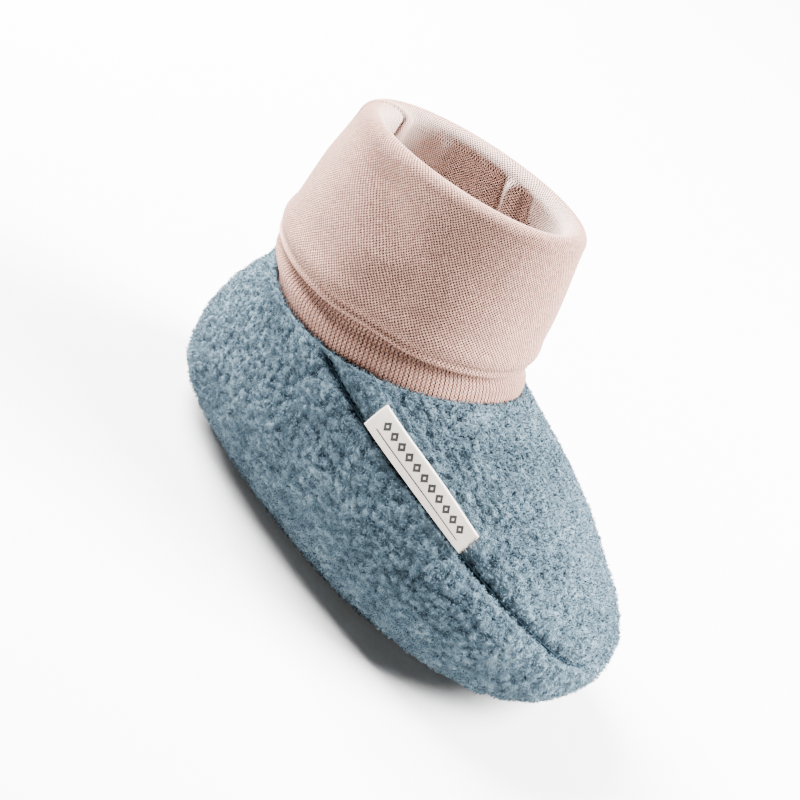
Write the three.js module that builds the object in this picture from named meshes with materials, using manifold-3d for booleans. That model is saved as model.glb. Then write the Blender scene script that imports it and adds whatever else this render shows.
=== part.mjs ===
// Baby wool shoe: a boiled-wool upper on a wool sole with grip dots, and a turned-down knitted cuff.
// Millimetres. +X is the toe, +Y the shoe's left, +Z up. The origin is on the floor under the middle.
import * as THREE from 'three';
import * as BufferGeometryUtils from 'three/addons/utils/BufferGeometryUtils.js';
import Module from 'manifold-3d';

const wasm = await Module();
wasm.setup();

// Overall sizes of the wool body and of the cuff above it
const LENGTH = 119;
const BALL_WIDTH = 68.4;
const INSTEP_HEIGHT = 47;
const CUFF_HEIGHT = 37.7;

// Walls and clearances
const WOOL_WALL = 2.8;
const COLLAR_EDGE = 1.8;
const KNIT_WALL = 2.2;
const FOLD_SLACK = 1;
const CUFF_TUCK = 4;
const TUCK_LEAN = 1.6;
const NECK_BULGE = 2.6;
const SOLE_THICKNESS = 3;
const INSOLE_THICKNESS = 1.6;
const INSOLE_INSET = 3;
const GAP = 0.3;

// The sunk seam between the vamp and the side panel, from one side of the collar round the toe to the other
const SEAM_DEPTH = 1.3;
const SEAM_ANGLE = THREE.MathUtils.degToRad(82.6);
const SEAM_TOE_LEVEL = 2.8;
const SEAM_BEND = 1.33;

// The folded tape in the right-hand seam, with its distance along the seam from the collar
const LABEL_LENGTH = 33;
const LABEL_WIDTH = 6.2;
const LABEL_THICKNESS = 1;
const LABEL_LIFT = 1.4;
const LABEL_START = 18.9;
const LABEL_STAND = THREE.MathUtils.degToRad(36);

// The band where the sole turns up to its seam, and the grip dots under its flat middle
const SOLE_TURN = 6;
const DOT_RADIUS = 3.2;
const DOT_HEIGHT = 0.5;

// Rows of grip dots from the heel to the toe. along is a share of half the length that the dots' middles have on
// the sole's flat middle, and across holds shares of half its width.
const DOT_ROWS = [
  { along: -0.62, across: [0] },
  { along: -0.31, across: [-0.41, 0.41] },
  { along: 0, across: [-0.82, 0, 0.82] },
  { along: 0.31, across: [-0.41, 0.41] },
  { along: 0.62, across: [-0.82, 0, 0.82] },
  { along: 0.93, across: [-0.41, 0.41] },
];

// Sections of the wool body, from the sole seam up to the collar. front, back and widest are shares of LENGTH,
// half is a share of BALL_WIDTH, and toe, side and heel are heights as shares of INSTEP_HEIGHT. An oval with a
// corner of 2 is an ellipse, and more is squarer.
const WOOL_ROWS = [
  { front: 0.357, back: -0.445, widest: 0.08, half: 0.409, corner: 2.25, toe: 0.089, side: 0.094, heel: 0.085 },
  { front: 0.45, back: -0.486, widest: 0.08, half: 0.453, corner: 2.3, toe: 0.111, side: 0.153, heel: 0.132 },
  { front: 0.497, back: -0.5, widest: 0.076, half: 0.485, corner: 2.3, toe: 0.226, side: 0.238, heel: 0.255 },
  { front: 0.494, back: -0.5, widest: 0.059, half: 0.5, corner: 2.3, toe: 0.447, side: 0.383, heel: 0.426 },
  { front: 0.402, back: -0.48, widest: 0.004, half: 0.491, corner: 2.2, toe: 0.647, side: 0.515, heel: 0.632 },
  { front: 0.26, back: -0.45, widest: -0.097, half: 0.453, corner: 2.1, toe: 0.872, side: 0.668, heel: 0.783 },
  { front: 0.08, back: -0.445, widest: -0.183, half: 0.417, corner: 2.04, toe: 1, side: 0.851, heel: 0.881 },
];
const COLLAR_LEVEL = WOOL_ROWS.length - 1;

// Sections of the cuff's tube above the collar: at the fold's edge, halfway and at the rim. The columns are as
// above, but the heights are shares of CUFF_HEIGHT above INSTEP_HEIGHT.
const TUBE_ROWS = [
  { front: 0.04, back: -0.449, widest: -0.204, half: 0.363, corner: 1.95, toe: 0.143, side: 0.037, heel: -0.048 },
  { front: 0.027, back: -0.449, widest: -0.211, half: 0.325, corner: 2, toe: 0.472, side: 0.373, heel: 0.284 },
  { front: 0.002, back: -0.442, widest: -0.22, half: 0.241, corner: 2.06, toe: 0.928, side: 0.836, heel: 0.743 },
];

// Places of the fold's edge and the rim among the tube's six sections, which count from its foot
const TUBE_FOLD = 3;
const TUBE_RIM = 5;

const AROUND = 56;
const STEPS_PER_ROW = 3;

// A point of an oval section at the angle phi, where 0 is the toe and a right angle the left side
function sectionPoint(row, phi, height, base) {
  const bow = (value) => Math.sign(value) * Math.abs(value) ** (2 / row.corner);
  const along = bow(Math.cos(phi));
  const across = bow(Math.sin(phi));
  const reach = along >= 0 ? row.front - row.widest : row.widest - row.back;
  const tilt = (along * (row.toe - row.heel)) / 2;
  const saddle = along * along * ((row.toe + row.heel) / 2 - row.side);
  return new THREE.Vector3(
    LENGTH * (row.widest + reach * along),
    BALL_WIDTH * row.half * across,
    base + height * (row.side + tilt + saddle),
  );
}

// A smooth curve through points, at a place that counts them from 0
function through(points, place) {
  const last = points.length - 1;
  const index = THREE.MathUtils.clamp(Math.floor(place), 0, last - 1);
  const mirrored = (end, next) => end.clone().multiplyScalar(2).sub(next);
  const before = index > 0 ? points[index - 1] : mirrored(points[0], points[1]);
  const after = index < last - 1 ? points[index + 2] : mirrored(points[last], points[last - 1]);
  const t = place - index;
  const weights = [
    -t + 2 * t ** 2 - t ** 3,
    2 - 5 * t ** 2 + 3 * t ** 3,
    t + 4 * t ** 2 - 3 * t ** 3,
    -(t ** 2) + t ** 3,
  ];
  const point = new THREE.Vector3();
  const near = [before, points[index], points[index + 1], after];
  near.forEach((neighbour, i) => point.addScaledVector(neighbour, weights[i] / 2));
  return point;
}

function wool(phi, level) {
  return through(WOOL_ROWS.map((row) => sectionPoint(row, phi, INSTEP_HEIGHT, 0)), level);
}

// Directions of the wool's face: up along it, and outward from it
function woolFrame(phi, level) {
  const step = 0.01;
  const low = Math.max(level - step, 0);
  const high = Math.min(level + step, COLLAR_LEVEL);
  const up = wool(phi, high).sub(wool(phi, low)).normalize();
  const around = wool(phi + step, level).sub(wool(phi - step, level)).normalize();
  return { up, out: new THREE.Vector3().crossVectors(around, up).normalize() };
}

// The wall is full up to the last section and thins out to the collar's edge
function woolInside(phi, level) {
  const thin = THREE.MathUtils.smoothstep(level, COLLAR_LEVEL - 1, COLLAR_LEVEL);
  const wall = THREE.MathUtils.lerp(WOOL_WALL, COLLAR_EDGE, thin);
  return wool(phi, level).addScaledVector(woolFrame(phi, level).out, -wall);
}

// Closed rings of points, one ring for each place around the shoe, skinned into one closed body
function skinned(slices) {
  const count = slices[0].length;
  const positions = slices.flat().flatMap((point) => point.toArray());
  const index = [];
  slices.forEach((_, i) => {
    const here = i * count;
    const next = ((i + 1) % slices.length) * count;
    for (let j = 0; j < count; j += 1) {
      const k = (j + 1) % count;
      index.push(here + j, next + j, next + k, here + j, next + k, here + k);
    }
  });
  return indexed(positions, index);
}

// Rings stacked from a bottom centre to a top centre, skinned into a closed plate
function plate(bottomCentre, rings, topCentre) {
  const positions = [bottomCentre, ...rings.flat(), topCentre].flatMap((point) => point.toArray());
  const count = rings[0].length;
  const top = 1 + rings.length * count;
  const index = [];
  for (let j = 0; j < count; j += 1) {
    const k = (j + 1) % count;
    index.push(0, 1 + k, 1 + j);
    for (let i = 0; i < rings.length - 1; i += 1) {
      const low = 1 + i * count;
      const high = low + count;
      index.push(low + j, low + k, high + k, low + j, high + k, high + j);
    }
    index.push(top, top - count + j, top - count + k);
  }
  return indexed(positions, index);
}

function indexed(positions, index) {
  const geometry = new THREE.BufferGeometry();
  geometry.setAttribute('position', new THREE.Float32BufferAttribute(positions, 3));
  geometry.setIndex(index);
  return geometry;
}

function toSolid(geometry) {
  const bare = geometry.clone();
  bare.deleteAttribute('normal');
  bare.deleteAttribute('uv');
  const merged = BufferGeometryUtils.mergeVertices(bare, 1e-4);
  return new wasm.Manifold(new wasm.Mesh({
    numProp: 3,
    vertProperties: new Float32Array(merged.attributes.position.array),
    triVerts: new Uint32Array(merged.index.array),
  }));
}

function toGeometry(solid) {
  const mesh = solid.getMesh();
  return indexed(Array.from(mesh.vertProperties), Array.from(mesh.triVerts));
}

function angles() {
  return Array.from({ length: AROUND }, (_, i) => (2 * Math.PI * i) / AROUND);
}

function spread(from, to, steps) {
  return Array.from({ length: steps + 1 }, (_, i) => THREE.MathUtils.lerp(from, to, i / steps));
}

// A place on the seam, from 0 at the toe to 1 at the collar: side is 1 on the shoe's left and -1 on its right
function seamPlace(share, side) {
  return {
    phi: side * SEAM_ANGLE * share,
    level: SEAM_TOE_LEVEL + (COLLAR_LEVEL - SEAM_TOE_LEVEL) * share ** SEAM_BEND,
  };
}

// The round tool that sinks the seam, run out past the collar at both ends
function seamTool() {
  const points = spread(-1, 1, 28).map((share) => {
    const { phi, level } = seamPlace(Math.abs(share), Math.sign(share));
    return wool(phi, level);
  });
  const runOut = (end, next) => end.clone().add(end.clone().sub(next).setLength(2 * SEAM_DEPTH));
  points.unshift(runOut(points[0], points[1]));
  points.push(runOut(points.at(-1), points.at(-2)));
  const circle = new THREE.Shape().absarc(0, 0, SEAM_DEPTH, 0, 2 * Math.PI);
  return new THREE.ExtrudeGeometry(circle, {
    extrudePath: new THREE.CatmullRomCurve3(points),
    steps: 64,
    curveSegments: 4,
  });
}

function upper() {
  const levels = spread(0, COLLAR_LEVEL, COLLAR_LEVEL * STEPS_PER_ROW);
  const slices = angles().map((phi) => {
    const outside = levels.map((level) => wool(phi, level));
    const inside = levels.map((level) => woolInside(phi, level)).reverse();
    return [...outside, ...inside];
  });
  return toGeometry(toSolid(skinned(slices)).subtract(toSolid(seamTool())));
}

// The outline that the sole panel keeps inside the bottom edge of the upper, drawn in by inset
function soleOutline(phi, inset) {
  const edge = wool(phi, 0);
  const around = wool(phi + 0.01, 0).sub(wool(phi - 0.01, 0)).setZ(0).normalize();
  return edge.add(new THREE.Vector3(-around.y, around.x, 0).multiplyScalar(inset));
}

function soleMiddle() {
  return (soleOutline(0, 0).x + soleOutline(Math.PI, 0).x) / 2;
}

// Height of the sole's underside: the seam's at the edge, and DOT_HEIGHT off the floor past the turned band
function underside(phi, inset) {
  const rise = 1 - THREE.MathUtils.clamp(inset / SOLE_TURN, 0, 1);
  return THREE.MathUtils.lerp(DOT_HEIGHT, wool(phi, 0).z, rise ** 1.6);
}

// A dished plate that follows the underside, from lift up to lift + thickness above it
function dished(edges, insets, lift, thickness) {
  const layer = (height) => insets.map((inset) => angles().map((phi) => {
    return soleOutline(phi, inset).setZ(underside(phi, inset) + height);
  }));
  const bottom = layer(lift).reverse();
  const top = layer(lift + thickness);
  const centre = new THREE.Vector3(soleMiddle(), 0, DOT_HEIGHT + lift);
  const topCentre = centre.clone().setZ(centre.z + thickness);
  return plate(centre, [...bottom, ...edges, ...top], topCentre);
}

function sole() {
  const seamEdge = (point) => angles().map((phi) => {
    return point(phi, 0).addScaledVector(woolFrame(phi, 0).up, -GAP);
  });
  const insets = [0.25, 0.5, 0.75, 1].map((share) => share * SOLE_TURN);
  return dished([seamEdge(wool), seamEdge(woolInside)], insets, 0, SOLE_THICKNESS);
}

function insole() {
  const insets = [INSOLE_INSET, SOLE_TURN * 0.65, SOLE_TURN];
  return dished([], insets, SOLE_THICKNESS + GAP, INSOLE_THICKNESS);
}

// A point of the cuff's tube at one of its six sections or between them, moved outward by offset. The foot is
// tucked into the collar, and the neck above it bulges over the wool towards the heel.
function tube(phi, place, offset) {
  const collar = woolInside(phi, COLLAR_LEVEL);
  const around = woolInside(phi + 0.01, COLLAR_LEVEL).sub(woolInside(phi - 0.01, COLLAR_LEVEL));
  const out = new THREE.Vector3(around.y, -around.x, 0).normalize();
  collar.addScaledVector(out, -GAP).setZ(collar.z + 2 * GAP);
  const foot = collar.clone().addScaledVector(out, -TUCK_LEAN).setZ(collar.z - CUFF_TUCK);
  const above = TUBE_ROWS.map((row) => sectionPoint(row, phi, CUFF_HEIGHT, INSTEP_HEIGHT));
  const bulge = (NECK_BULGE * (1 - Math.cos(phi))) / 2;
  const neck = collar.clone().lerp(above[0], 0.5).addScaledVector(out, bulge);
  return through([foot, collar, neck, ...above], place).addScaledVector(out, offset);
}

// Once round the knit at one place: up inside, over the rim, down outside to the fold's edge, up under the
// fold and down the neck
function cuff() {
  const flapInside = FOLD_SLACK;
  const flapOutside = FOLD_SLACK + KNIT_WALL;
  const rimMiddle = (flapOutside - KNIT_WALL) / 2;
  const rimRadius = flapOutside - rimMiddle;
  const slices = angles().map((phi) => {
    const at = (place, offset, lift = 0) => {
      const point = tube(phi, place, offset);
      return point.setZ(point.z + lift);
    };
    const rim = spread(Math.PI, 0, 4).map((turn) => {
      return at(TUBE_RIM, rimMiddle + rimRadius * Math.cos(turn), rimRadius * Math.sin(turn));
    });
    const outside = spread(TUBE_RIM, TUBE_FOLD, 4).slice(1, -1);
    const inside = spread(0, TUBE_RIM, 6).slice(0, -1);
    const bend = KNIT_WALL / 2;
    return [
      ...inside.map((place) => at(place, -KNIT_WALL)),
      ...rim,
      ...outside.map((place) => at(place, flapOutside)),
      at(TUBE_FOLD, flapOutside, bend),
      at(TUBE_FOLD, flapInside + bend),
      at(TUBE_FOLD, flapInside, bend),
      ...outside.toReversed().map((place) => at(place, flapInside)),
      at(TUBE_RIM, flapInside / 2),
      ...spread(TUBE_RIM, 0, 6).slice(1).map((place) => at(place, 0)),
    ];
  });
  return skinned(slices.reverse());
}

// The share of the seam at a distance along it from the collar, on the shoe's right
function seamShareAt(distance) {
  const shares = spread(1, 0, 200);
  let walked = 0;
  for (let i = 1; i < shares.length; i += 1) {
    const [from, to] = [shares[i - 1], shares[i]].map((share) => seamPlace(share, -1));
    walked += wool(from.phi, from.level).distanceTo(wool(to.phi, to.level));
    if (walked >= distance) return shares[i];
  }
  return 0;
}

// The tape's sewn edge lies in the seam. Its free edge stands up over the vamp, and more so towards the toe.
function label() {
  const ends = [LABEL_START, LABEL_START + LABEL_LENGTH].map(seamShareAt);
  const slices = spread(ends[0], ends[1], 8).map((share) => {
    const stand = LABEL_STAND * THREE.MathUtils.inverseLerp(ends[0], ends[1], share);
    const { phi, level } = seamPlace(share, -1);
    const { out } = woolFrame(phi, level);
    const next = seamPlace(share - 0.01, -1);
    const forward = wool(next.phi, next.level).sub(wool(phi, level)).normalize();
    const inward = new THREE.Vector3().crossVectors(forward, out).normalize().negate();
    const at = (width, height) => {
      const bow = LABEL_LIFT * Math.sin((Math.PI / 2) * (width / LABEL_WIDTH));
      const sheet = new THREE.Vector2(width, bow + height).rotateAround(new THREE.Vector2(), stand);
      return wool(phi, level).addScaledVector(inward, sheet.x).addScaledVector(out, GAP + sheet.y);
    };
    const widths = spread(0, LABEL_WIDTH, 3);
    return [
      ...widths.map((width) => at(width, 0)),
      ...widths.toReversed().map((width) => at(width, LABEL_THICKNESS)),
    ];
  });
  return capped(slices.reverse());
}

// A row of closed rings skinned along its length, with flat ends
function capped(slices) {
  const count = slices[0].length;
  const positions = slices.flat().flatMap((point) => point.toArray());
  const last = (slices.length - 1) * count;
  const index = [];
  for (let i = 0; i < slices.length - 1; i += 1) {
    for (let j = 0; j < count; j += 1) {
      const k = (j + 1) % count;
      const here = i * count;
      const next = here + count;
      index.push(here + j, next + j, next + k, here + j, next + k, here + k);
    }
  }
  for (let j = 0; j < count / 2 - 1; j += 1) {
    const k = count - 1 - j;
    index.push(j, j + 1, k - 1, j, k - 1, k);
    index.push(last + j, last + k - 1, last + j + 1, last + j, last + k, last + k - 1);
  }
  return indexed(positions, index);
}

// The middle of each dot, in staggered rows over the sole's flat middle
function dotCentres() {
  const reach = SOLE_TURN + DOT_RADIUS;
  const halfLength = (soleOutline(0, reach).x - soleOutline(Math.PI, reach).x) / 2;
  const halfWidth = soleOutline(Math.PI / 2, reach).y;
  return DOT_ROWS.flatMap(({ along, across }) => across.map((share) => {
    return new THREE.Vector2(soleMiddle() + along * halfLength, share * halfWidth);
  }));
}

function gripDot(centre) {
  const geometry = new THREE.CylinderGeometry(DOT_RADIUS, DOT_RADIUS, DOT_HEIGHT, 12);
  geometry.rotateX(Math.PI / 2);
  geometry.translate(centre.x, centre.y, DOT_HEIGHT / 2);
  return geometry;
}

const blueWool = new THREE.MeshStandardMaterial({ color: 0x8499a6, roughness: 0.95, metalness: 0 });
const pinkKnit = new THREE.MeshStandardMaterial({ color: 0xdcb9aa, roughness: 0.9, metalness: 0 });
const creamTape = new THREE.MeshStandardMaterial({ color: 0xf1ece2, roughness: 0.85, metalness: 0 });
const greyFelt = new THREE.MeshStandardMaterial({ color: 0xb9b4aa, roughness: 0.95, metalness: 0 });
const clearGrip = new THREE.MeshStandardMaterial({ color: 0xe4e9e8, roughness: 0.45, metalness: 0 });

const shoe = new THREE.Group();

function place(name, geometry, material) {
  const mesh = new THREE.Mesh(geometry, material);
  mesh.name = name;
  shoe.add(mesh);
}

place('upper', upper(), blueWool);
place('sole', sole(), blueWool.clone());
place('insole', insole(), greyFelt);
place('cuff', cuff(), pinkKnit);
place('label', label(), creamTape);
dotCentres().forEach((centre, i) => {
  place(`grip_dot_${String(i + 1).padStart(2, '0')}`, gripDot(centre), clearGrip.clone());
});

export default shoe;
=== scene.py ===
import math
from collections import namedtuple

import bmesh
import bpy
import numpy as np
from mathutils import Matrix, Vector, kdtree, noise


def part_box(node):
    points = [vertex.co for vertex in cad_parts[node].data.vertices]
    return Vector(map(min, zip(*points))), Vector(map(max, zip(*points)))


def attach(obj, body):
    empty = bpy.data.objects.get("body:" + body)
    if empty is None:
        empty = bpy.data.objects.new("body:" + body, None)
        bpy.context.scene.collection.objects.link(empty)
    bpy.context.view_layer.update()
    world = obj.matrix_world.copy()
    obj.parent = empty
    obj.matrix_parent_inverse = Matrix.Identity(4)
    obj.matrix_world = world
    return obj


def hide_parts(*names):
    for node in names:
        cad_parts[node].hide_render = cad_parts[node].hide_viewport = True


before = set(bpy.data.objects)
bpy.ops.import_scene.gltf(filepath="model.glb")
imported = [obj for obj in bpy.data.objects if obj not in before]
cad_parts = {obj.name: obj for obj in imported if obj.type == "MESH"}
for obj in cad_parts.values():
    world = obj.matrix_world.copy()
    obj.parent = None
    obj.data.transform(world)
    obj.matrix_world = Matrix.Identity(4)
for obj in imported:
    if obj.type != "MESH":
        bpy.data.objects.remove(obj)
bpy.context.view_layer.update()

# The studio: a paper floor in a dim room, with a soft box past the toe on the far side and one behind the
# heel. A long lens sees it from the shoe's right, a little towards the toe, with the camera rolled. Albedos
# are low and the lights strong, so that the floor comes out nearly white.
PAPER_COLOUR = (0.45, 0.45, 0.45, 1)
PAPER_HALF_WIDTH = 3.0
VIEW_AZIMUTH = math.radians(27.2)
VIEW_ELEVATION = math.radians(26.0)
VIEW_ROLL = math.radians(34.0)
VIEW_DISTANCE = 0.598
VIEW_ALONG = -0.0035
VIEW_HEIGHT = 0.035
LENS_MM = 126.5
AIM_LEFT = 0.0071
AIM_UP = 0.0010


def view_axes(back):
    """The picture's right and up for a camera on the side that back points to."""
    level = Vector((0, 0, 1)).cross(back).normalized()
    upright = back.cross(level)
    right = level * math.cos(VIEW_ROLL) + upright * math.sin(VIEW_ROLL)
    return right, back.cross(right)


pivot = Vector((VIEW_ALONG, 0, VIEW_HEIGHT))
towards_camera = Vector((
    math.sin(VIEW_AZIMUTH) * math.cos(VIEW_ELEVATION),
    -math.cos(VIEW_AZIMUTH) * math.cos(VIEW_ELEVATION),
    math.sin(VIEW_ELEVATION),
))
camera_place = pivot + towards_camera * VIEW_DISTANCE
picture_right, picture_up = view_axes(towards_camera)
target = pivot - picture_right * AIM_LEFT + picture_up * AIM_UP
back = (camera_place - target).normalized()
right, up = view_axes(back)
camera = bpy.data.objects.new("camera", bpy.data.cameras.new("camera"))
camera.data.lens = LENS_MM
camera.data.sensor_width = 36
camera.matrix_world = Matrix.Translation(camera_place) @ Matrix((right, up, back)).transposed().to_4x4()
bpy.context.scene.collection.objects.link(camera)
bpy.context.scene.camera = camera


def soft_box(name, direction, distance, size, power):
    """A square area light that faces the shoe from a direction."""
    lamp = bpy.data.lights.new(name, "AREA")
    lamp.size = size
    lamp.energy = power
    holder = bpy.data.objects.new(name, lamp)
    holder.location = pivot + direction.normalized() * distance
    holder.rotation_euler = direction.to_track_quat("Z", "Y").to_euler()
    bpy.context.scene.collection.objects.link(holder)


soft_box("toe_box", Vector((0.62, 0.56, 0.64)), 0.9, 0.6, 195)
soft_box("heel_box", Vector((-0.8, 0.05, 0.6)), 0.9, 0.5, 208)

room = bpy.data.worlds.new("room")
room.use_nodes = True
room.node_tree.nodes["Background"].inputs["Color"].default_value = (1, 1, 1, 1)
room.node_tree.nodes["Background"].inputs["Strength"].default_value = 0.08
bpy.context.scene.world = room

paper_mesh = bpy.data.meshes.new("paper_floor")
paper_mesh.from_pydata(
    [(x * PAPER_HALF_WIDTH, y * PAPER_HALF_WIDTH, 0) for x, y in ((-1, -1), (1, -1), (1, 1), (-1, 1))],
    [], [(0, 1, 2, 3)],
)
paper_floor = bpy.data.objects.new("paper_floor", paper_mesh)
bpy.context.scene.collection.objects.link(paper_floor)
paper = bpy.data.materials.new("paper")
paper.use_nodes = True
paper.node_tree.nodes["Principled BSDF"].inputs["Base Color"].default_value = PAPER_COLOUR
paper.node_tree.nodes["Principled BSDF"].inputs["Roughness"].default_value = 0.9
paper.node_tree.nodes["Principled BSDF"].inputs["Emission Color"].default_value = PAPER_COLOUR
paper.node_tree.nodes["Principled BSDF"].inputs["Emission Strength"].default_value = 0.12
paper_mesh.materials.append(paper)

# The wool: one cloth for the upper and the sole, dusty blue and boiled until it is thick, with a short curly
# nap. Its colour runs from dark hollows to pale tips, the dark of the hollows being painted shade, and each
# loose curl has a tone of its own.
WOOL_HOLLOW_SHADE = (0.015, 0.029, 0.041, 1)
WOOL_GROUND = (0.062, 0.103, 0.135, 1)
WOOL_TIP = (0.195, 0.268, 0.31, 1)
CURL_SCALE = 1600
FIBRE_SCALE = 3200
DRIFT_SCALE = 70


class Wire:
    """A socket of a node tree, so that maths on its value is written as an expression."""

    def __init__(self, tree, socket):
        self.tree = tree
        self.socket = socket

    def maths(self, operation, other=0.0):
        return node(self.tree, "ShaderNodeMath", {"operation": operation}, {0: self, 1: other})

    def __add__(self, other):
        return self.maths("ADD", other)

    def __mul__(self, other):
        return self.maths("MULTIPLY", other)

    def __sub__(self, other):
        return self.maths("SUBTRACT", other)

    def __rsub__(self, other):
        return self * -1.0 + other

    def __pow__(self, other):
        return self.maths("POWER", other)


def node(tree, kind, settings, sockets, output=0):
    """Adds a node with its settings, fills its sockets with values or wires, and gives one output."""
    made = tree.nodes.new(kind)
    for name, value in settings.items():
        if name == "stops":
            ramp = made.color_ramp.elements
            while len(ramp) < len(value):
                ramp.new(1)
            for stop, (place, colour) in zip(ramp, value):
                stop.position = place
                stop.color = colour
        else:
            setattr(made, name, value)
    for name, value in sockets.items():
        if isinstance(value, Wire):
            tree.links.new(value.socket, made.inputs[name])
        else:
            made.inputs[name].default_value = value
    return Wire(tree, made.outputs[output])


def object_place(tree):
    """Where a point is in its piece, in metres."""
    return node(tree, "ShaderNodeTexCoord", {}, {}, "Object")


def grain(tree, place, scale, detail, roughness=0.5, distortion=0.0):
    """Smooth noise of a scale and detail, drawn out by its distortion."""
    return node(tree, "ShaderNodeTexNoise", {}, {
        "Vector": place, "Scale": scale, "Detail": detail, "Roughness": roughness, "Distortion": distortion})


def stored(tree, name):
    """A number that a mesh stores for each of its points."""
    return node(tree, "ShaderNodeAttribute", {"attribute_name": name}, {}, "Fac")


def blend(tree, factor, first, second, how="MIX"):
    """Goes from a first colour to a second one."""
    settings = {"data_type": "RGBA", "blend_type": how}
    return node(tree, "ShaderNodeMix", settings, {"Factor": factor, 6: first, 7: second}, 2)


def bump(tree, strength, distance, height):
    return node(tree, "ShaderNodeBump", {}, {"Strength": strength, "Distance": distance, "Height": height})


def cloth_material(name, constants):
    """A material with its Principled shader and the values that are the same all over it."""
    material = bpy.data.materials.new(name)
    material.use_nodes = True
    shader = material.node_tree.nodes["Principled BSDF"]
    for socket, value in constants.items():
        shader.inputs[socket].default_value = value
    return material.node_tree, shader, material


def feed(tree, shader, **wires):
    """Wires up a shader's sockets, named with an underscore for each space."""
    for name, wire in wires.items():
        tree.links.new(wire.socket, shader.inputs[name.replace("_", " ")])


def wool_material(name, brightness, spread):
    constants = {"Roughness": 0.95, "Sheen Weight": 0.18, "Sheen Roughness": 0.55,
                 "Sheen Tint": (0.6, 0.78, 0.88, 1), "Specular IOR Level": 0.1}
    tree, shader, material = cloth_material(name, constants)
    place = object_place(tree)
    curls = grain(tree, place, CURL_SCALE, 3, 0.6, 1.6)
    fibres = grain(tree, place, FIBRE_SCALE, 2, 0.5, 0.8)
    drift = grain(tree, place, DRIFT_SCALE, 1)
    height = stored(tree, "nap")
    # The nap's height sets the tone, so the low hollows come out darker: painted shade.
    tone = height * spread + curls * 0.36 + fibres * 0.24 + drift * 0.2 - 0.45 * spread + 0.045
    stops = [(0.22, WOOL_HOLLOW_SHADE), (0.5, WOOL_GROUND), (0.82, WOOL_TIP)]
    colour = node(tree, "ShaderNodeValToRGB", {"stops": stops}, {"Fac": tone})
    lit = blend(tree, 1.0, colour, (brightness, brightness, brightness, 1), "MULTIPLY")
    feed(tree, shader, Base_Color=lit, Normal=bump(tree, 0.8, 0.0006, curls + fibres))
    return material


# The shell's copy is darker than the curls' copy (0.74 against 0.86), as painted shade under the curls.
shaded_boiled_wool = wool_material("shaded_boiled_wool", 0.74, 0.45)
loose_curls = wool_material("loose_curls", 0.86, 0.42)

# The upper: one shell of boiled wool nearly 3 mm thick, sewn from a vamp and a side panel. The seam between
# them starts on each side of the collar, sinks between the puffed panels and fades round the toe.
LENGTH = 0.119
BALL_WIDTH = 0.0684
INSTEP_HEIGHT = 0.047
WOOL_WALL = 0.0028
COLLAR_EDGE = 0.0018
COLLAR_ROLL = 0.0005
SEAM_ANGLE = math.radians(82.6)
SEAM_TOE_LEVEL = 2.8
SEAM_BEND = 1.33
SEAM_DEPTH = 0.0016
SEAM_HALF_WIDTH = 0.0012
PUFF_HEIGHT = 0.0007
PUFF_AWAY = 0.0048
PUFF_HALF_WIDTH = 0.0032
PRESSED_SHADE_HALF_WIDTH = 0.0007
CORE_HALF_WIDTH = 0.0006
NAP_DEPTH = 0.0012
NAP_LUMP = 0.0015

# An oval section of the shoe: front, back and widest are shares of the length, half a share of the width at
# the ball, and toe, side and heel are heights as shares of the instep's.
Section = namedtuple("Section", "front back widest half corner toe side heel")
WOOL_SECTIONS = [
    Section(0.357, -0.445, 0.08, 0.409, 2.25, 0.089, 0.094, 0.085),
    Section(0.45, -0.486, 0.08, 0.453, 2.3, 0.111, 0.153, 0.132),
    Section(0.497, -0.5, 0.076, 0.485, 2.3, 0.226, 0.238, 0.255),
    Section(0.494, -0.5, 0.059, 0.5, 2.3, 0.447, 0.383, 0.426),
    Section(0.402, -0.48, 0.004, 0.491, 2.2, 0.647, 0.515, 0.632),
    Section(0.26, -0.45, -0.097, 0.453, 2.1, 0.872, 0.668, 0.783),
    Section(0.08, -0.445, -0.183, 0.417, 2.04, 1, 0.851, 0.881),
]
COLLAR_LEVEL = len(WOOL_SECTIONS) - 1


def section_ring(section, phi, height, base):
    """Points of a section at angles: 0 is the toe and a right angle the shoe's left."""
    def bow(value):
        return np.sign(value) * np.abs(value) ** (2 / section.corner)

    along = bow(np.cos(phi))
    across = bow(np.sin(phi))
    reach = np.where(along >= 0, section.front - section.widest, section.widest - section.back)
    tilt = along * (section.toe - section.heel) / 2
    saddle = along ** 2 * ((section.toe + section.heel) / 2 - section.side)
    x = LENGTH * (section.widest + reach * along)
    y = BALL_WIDTH * section.half * across
    return np.stack([x, y, base + height * (section.side + tilt + saddle)], axis=-1)


def through(rings, places):
    """Smooth rings at places that count the given rings from 0."""
    rings = np.asarray(rings)
    places = np.asarray(places, dtype=float)
    ends = 2 * rings[:1] - rings[1:2], 2 * rings[-1:] - rings[-2:-1]
    padded = np.concatenate([ends[0], rings, ends[1]])
    index = np.clip(np.floor(places).astype(int), 0, len(rings) - 2)
    t = (places - index).reshape((-1,) + (1,) * (rings.ndim - 1))
    weights = (-t + 2 * t**2 - t**3, 2 - 5 * t**2 + 3 * t**3, t + 4 * t**2 - 3 * t**3, t**3 - t**2)
    return sum(weight * padded[index + i] for i, weight in enumerate(weights)) / 2


def wool(phi, levels):
    return through([section_ring(section, phi, INSTEP_HEIGHT, 0) for section in WOOL_SECTIONS], levels)


def outward(rings):
    """The direction out of a stack of rings, at each of their points."""
    around = np.roll(rings, -1, axis=1) - np.roll(rings, 1, axis=1)
    out = np.cross(around, np.gradient(rings, axis=0))
    return out / np.linalg.norm(out, axis=-1, keepdims=True)


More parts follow.
